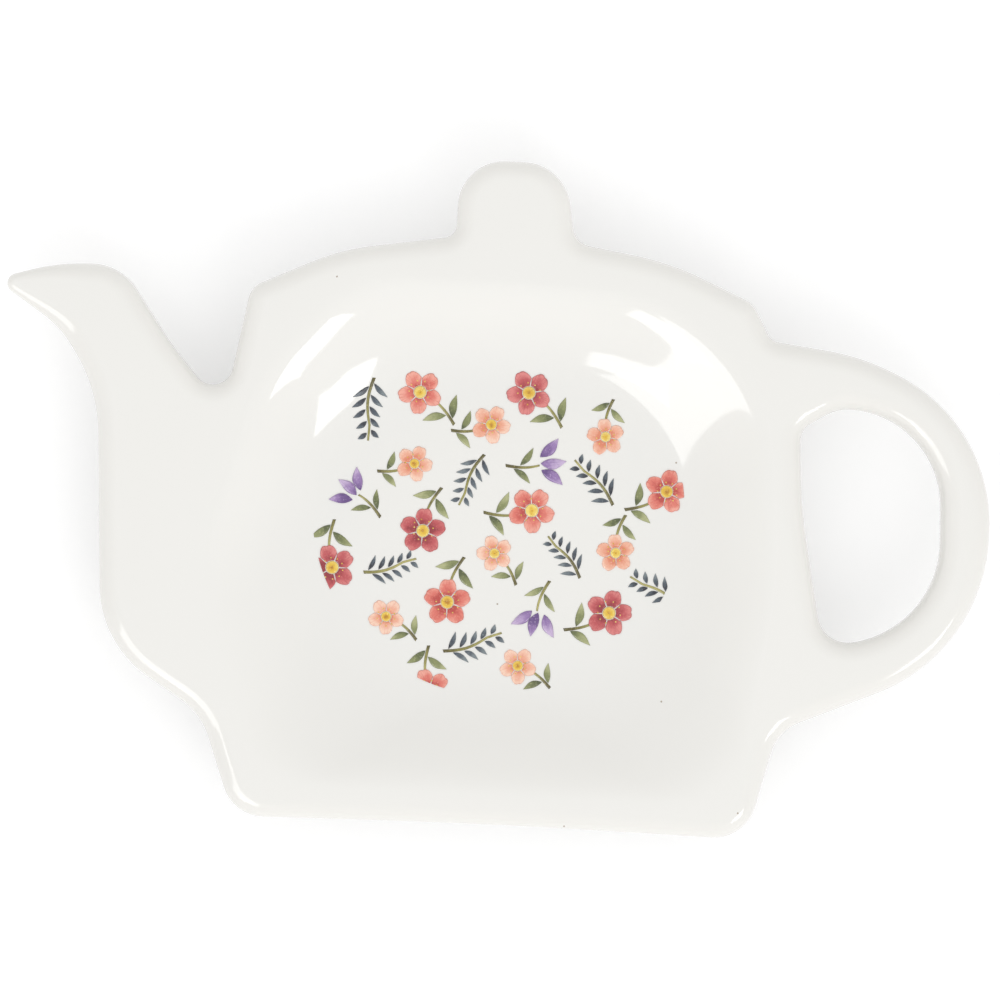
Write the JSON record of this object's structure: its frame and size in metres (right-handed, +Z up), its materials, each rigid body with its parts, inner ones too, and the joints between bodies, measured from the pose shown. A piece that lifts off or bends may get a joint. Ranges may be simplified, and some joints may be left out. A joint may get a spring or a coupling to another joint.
{
  "type": "tea bag rest",
  "caption": "Small glazed ceramic rest for a used tea bag: a shallow dish shaped like a teapot, with spout, lid knob, looped handle, foot ring and a round floral print.",
  "frame": {"origin": "centre of the object's footprint box, on the table plane under the foot ring", "axes": "+Z up out of the dish, +X from the spout towards the handle, +Y from the straight base edge towards the lid knob"},
  "size_m": [0.1198, 0.0806, 0.012],
  "materials": {
    "fired_clay": "matt, unglazed",
    "white_glaze": "clear gloss glaze",
    "olive_enamel": "gloss, fused",
    "sage_enamel": "gloss, fused",
    "slate_enamel": "gloss, fused",
    "peach_enamel": "gloss, fused",
    "coral_enamel": "gloss, fused",
    "rose_enamel": "gloss, fused",
    "lilac_enamel": "gloss, fused",
    "yellow_enamel": "gloss, fused"
  },
  "bodies": {
    "root": {"biscuit_body": "fired_clay", "glaze_coat": "white_glaze", "foot_well_glaze": "white_glaze", "print_stems": "olive_enamel", "print_leaves": "sage_enamel", "print_slate_sprigs": "slate_enamel", "print_peach_petals": "peach_enamel", "print_coral_petals": "coral_enamel", "print_rose_petals": "rose_enamel", "print_lilac_petals": "lilac_enamel", "print_yellow_centres": "yellow_enamel"}
  },
  "joints": []
}
